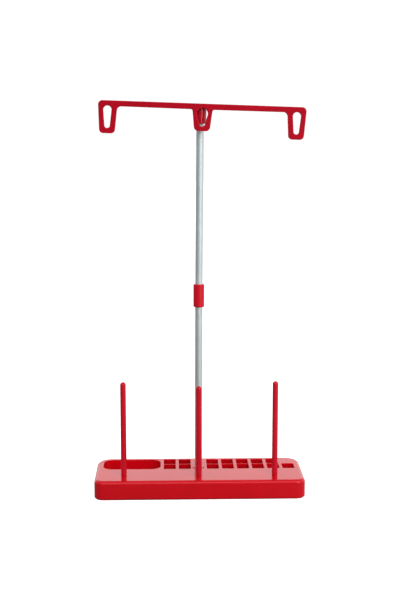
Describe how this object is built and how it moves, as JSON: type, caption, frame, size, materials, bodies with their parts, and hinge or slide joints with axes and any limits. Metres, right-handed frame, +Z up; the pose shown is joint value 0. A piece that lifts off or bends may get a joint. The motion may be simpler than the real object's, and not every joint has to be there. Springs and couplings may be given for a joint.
{
  "type": "thread spool stand",
  "caption": "Free-standing thread stand: upright spool pins on a base with bobbin wells and a tray, and a jointed pole with a guide arm of hanging eyelets.",
  "frame": {"origin": "on the table, under the middle of the base", "axes": "+Z up; +X to the user's right, along the base and the guide arm; the user stands at -Y"},
  "size_m": [0.2108, 0.08, 0.3924],
  "materials": {
    "base_plastic": "glossy",
    "pin_plastic": "glossy",
    "arm_plastic": "glossy",
    "tube_metal": "satin"
  },
  "bodies": {
    "root": {"base": "base_plastic", "spool_pin_left": "pin_plastic", "spool_pin_centre": "pin_plastic", "spool_pin_right": "pin_plastic", "pole_lower": "tube_metal", "pole_coupling": "arm_plastic", "pole_upper": "tube_metal", "thread_guide_arm": "arm_plastic"}
  },
  "joints": []
}
